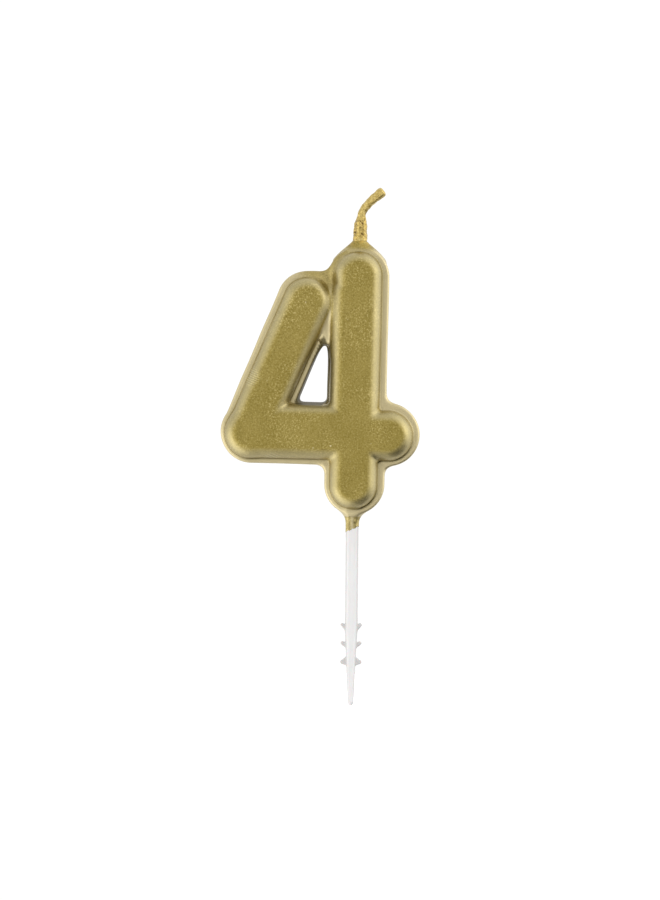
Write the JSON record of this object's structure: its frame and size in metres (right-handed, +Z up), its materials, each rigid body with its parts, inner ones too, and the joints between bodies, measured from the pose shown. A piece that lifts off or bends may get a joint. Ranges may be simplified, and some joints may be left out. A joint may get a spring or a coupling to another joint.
{
  "type": "number birthday candle",
  "caption": "Cast wax figure-four birthday candle in gold lacquer, with a bent cotton wick and a barbed plastic cake pick.",
  "frame": {"origin": "on the pick's axis, where the wax ends and the top of the cake comes up to", "axes": "+Z up along the pick towards the wick, +Y out of the flat back so that the relief faces -Y, +X to the figure's right as it is read"},
  "size_m": [0.0378, 0.008, 0.0984],
  "materials": {
    "wax": "pale paraffin wax, slightly translucent",
    "gold_lacquer": "metallic gold lacquer film, satin, with fine bright flakes",
    "cotton": "twisted cotton yarn soaked in gold lacquer and wax",
    "white_plastic": "white injection-moulded plastic, satin"
  },
  "bodies": {
    "pick": {"pick": "white_plastic", "pick_paint": "gold_lacquer"},
    "figure": {"wax_numeral": "wax", "gold_coat": "gold_lacquer", "wick_crust": "gold_lacquer", "wick_yarn_1": "cotton", "wick_yarn_2": "cotton", "wick_yarn_3": "cotton"},
    "wick_tip": {"wick_tip_yarn_1": "cotton", "wick_tip_yarn_2": "cotton", "wick_tip_yarn_3": "cotton"}
  },
  "joints": [
    {"name": "figure_lift", "type": "slide", "parent": "pick", "child": "figure", "axis": [0, 0, 1], "range_m": [0, 0.0165]},
    {"name": "wick_bend", "type": "hinge", "parent": "figure", "child": "wick_tip", "pos_m": [0.00105, 0, 0.05729], "axis": [0, 1, 0], "range_deg": [-40, 40]}
  ]
}
